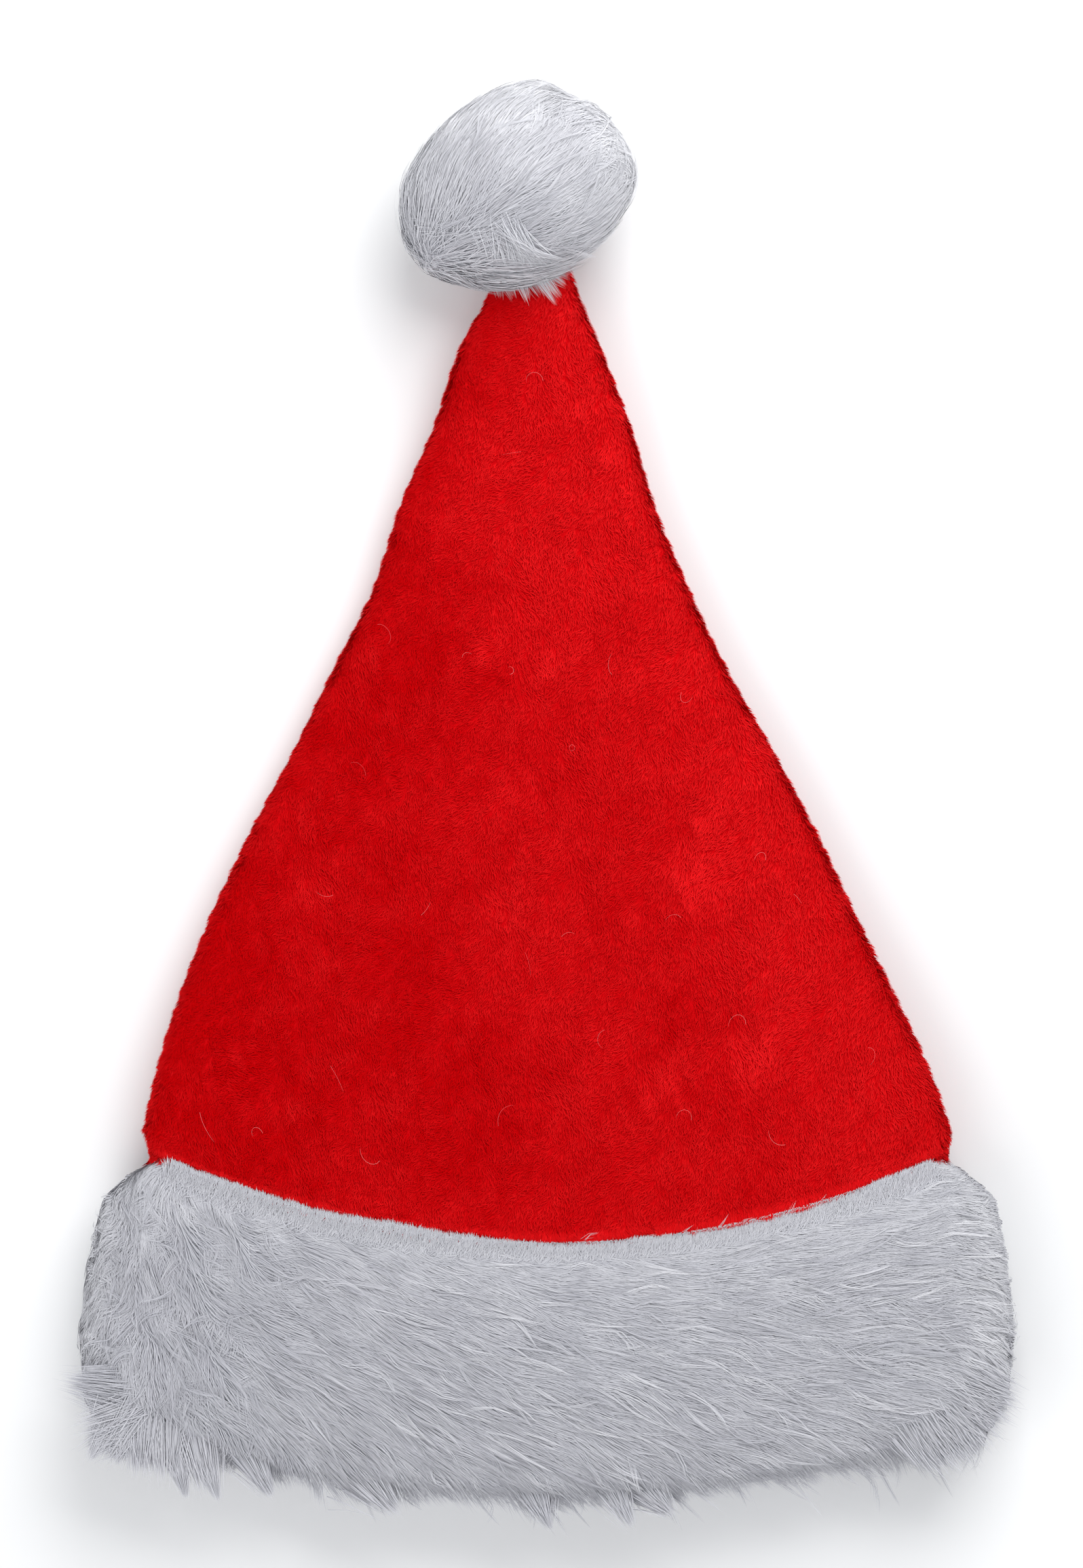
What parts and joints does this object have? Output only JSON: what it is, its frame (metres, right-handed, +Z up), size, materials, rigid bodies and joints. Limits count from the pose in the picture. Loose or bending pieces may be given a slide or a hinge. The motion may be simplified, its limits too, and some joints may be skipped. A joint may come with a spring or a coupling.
{
  "type": "santa hat",
  "caption": "Plush cone hat lying flat, with a long-pile fur cuff round its open mouth and a fur pompom at the tip.",
  "frame": {"origin": "on the floor that the hat lies on, under the middle of its outline", "axes": "+X across the hat to the right in the picture, +Y from the mouth to the pompom, +Z up from the floor through the front"},
  "size_m": [0.3112, 0.4739, 0.0662],
  "materials": {
    "red_plush": "short red plush pile",
    "white_fur": "long white faux fur"
  },
  "bodies": {
    "root": {"crown": "red_plush", "cuff": "white_fur", "pompom": "white_fur"}
  },
  "joints": []
}
